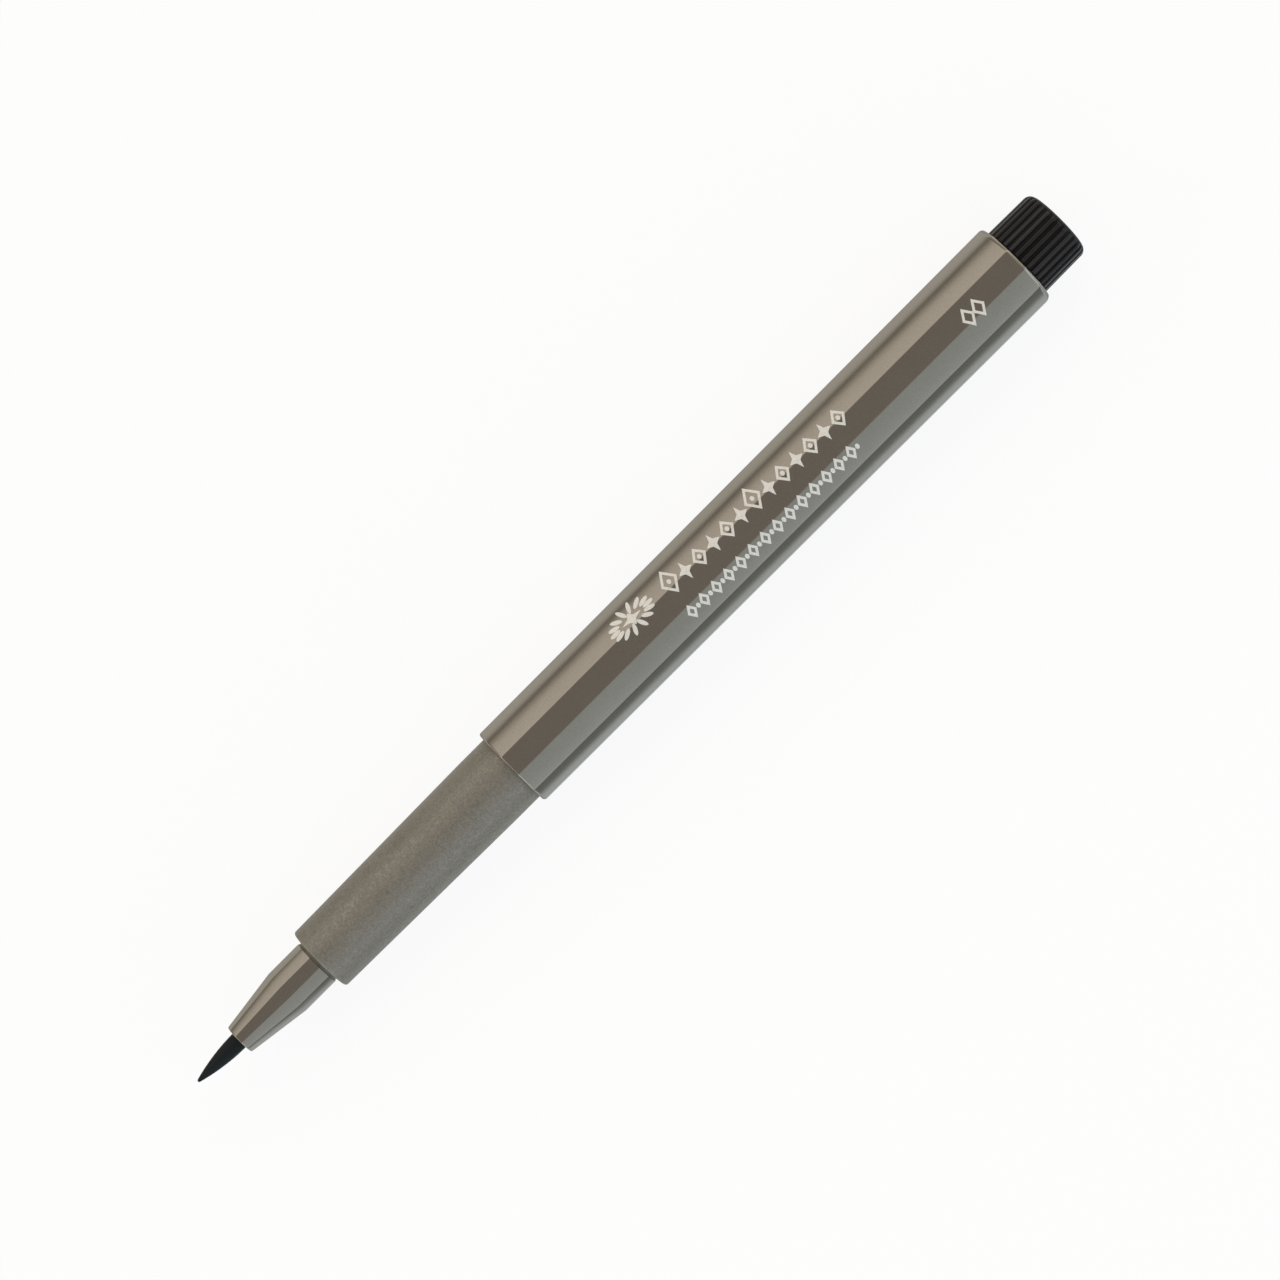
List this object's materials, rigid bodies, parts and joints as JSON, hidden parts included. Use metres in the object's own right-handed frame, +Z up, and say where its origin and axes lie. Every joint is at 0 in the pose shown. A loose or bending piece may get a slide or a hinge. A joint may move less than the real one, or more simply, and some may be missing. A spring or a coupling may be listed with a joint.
{
  "type": "calligraphy marker",
  "caption": "Uncapped brush-tip calligraphy marker with a faceted metallic barrel, a smooth tapered grip, a faceted nose and a ribbed black end plug.",
  "frame": {"origin": "under the middle of the pen's length and width, on the surface that it lies on", "axes": "+X along the pen's axis from the brush tip to the end plug, +Z up out of the surface"},
  "size_m": [0.138, 0.011, 0.0109],
  "materials": {
    "metallic": "satin metallic lacquer, warm champagne grey",
    "grip": "matte moulded plastic with fine metallic flake",
    "plug": "black moulded plastic, soft sheen",
    "nib": "ink-black bonded fibre",
    "liner": "natural moulded plastic",
    "fibre": "bonded fibre, soaked with ink",
    "film": "clear film"
  },
  "bodies": {
    "barrel": {"barrel": "metallic", "reservoir_fibre": "fibre", "reservoir_film": "film"},
    "front_section": {"grip_section": "grip", "nose_cone": "metallic", "nib_liner": "liner"},
    "nib": {"brush_nib": "nib"},
    "plug": {"end_plug": "plug"}
  },
  "joints": [
    {"name": "section_pull", "type": "slide", "parent": "barrel", "child": "front_section", "axis": [-1, 0, 0], "range_m": [0, 0.04]},
    {"name": "nib_pull", "type": "slide", "parent": "front_section", "child": "nib", "axis": [-1, 0, 0], "range_m": [0, 0.035]},
    {"name": "plug_pull", "type": "slide", "parent": "barrel", "child": "plug", "axis": [1, 0, 0], "range_m": [0, 0.012]}
  ]
}
